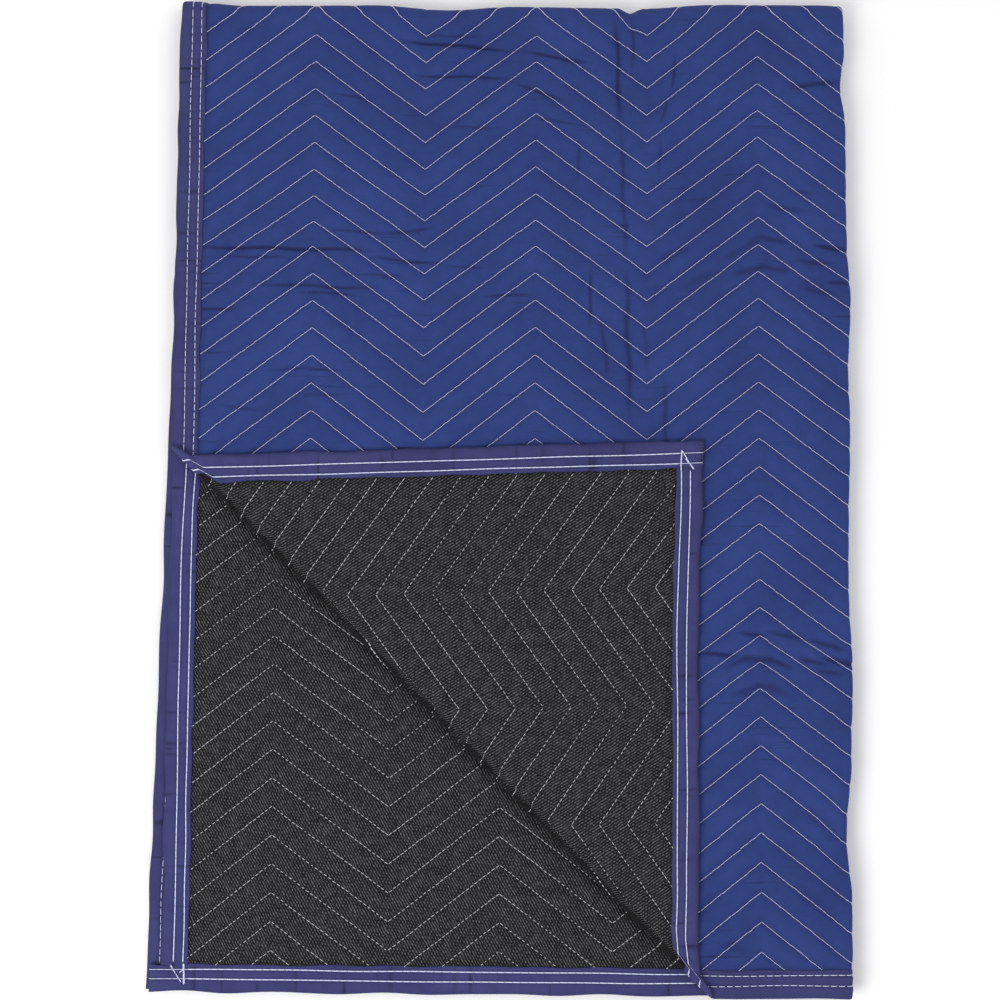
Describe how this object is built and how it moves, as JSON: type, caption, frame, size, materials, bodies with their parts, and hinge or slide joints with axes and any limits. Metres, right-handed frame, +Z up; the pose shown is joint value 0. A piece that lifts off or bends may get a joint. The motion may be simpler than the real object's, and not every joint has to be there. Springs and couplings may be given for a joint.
{
  "type": "moving blanket",
  "caption": "Chevron-quilted moving blanket with bound edges, folded in quarters, one corner turned back to show its lining.",
  "frame": {"origin": "middle of the folded footprint, on the surface that it lies on", "axes": "+Z up, +Y along the long side towards the folded top edge, +X towards the folded side edge"},
  "size_m": [0.6332, 0.9056, 0.029],
  "materials": {
    "face_cloth": "matt navy cloth over wadding, quilted in chevrons",
    "lining_cloth": "matt charcoal knit-like cloth with pale flecks",
    "binding_tape": "matt blue-violet binding tape"
  },
  "bodies": {
    "root": {"face_panel": "face_cloth", "lining_panel": "lining_cloth", "binding_left": "binding_tape", "binding_bottom": "binding_tape", "binding_right": "binding_tape", "binding_top": "binding_tape"}
  },
  "joints": []
}
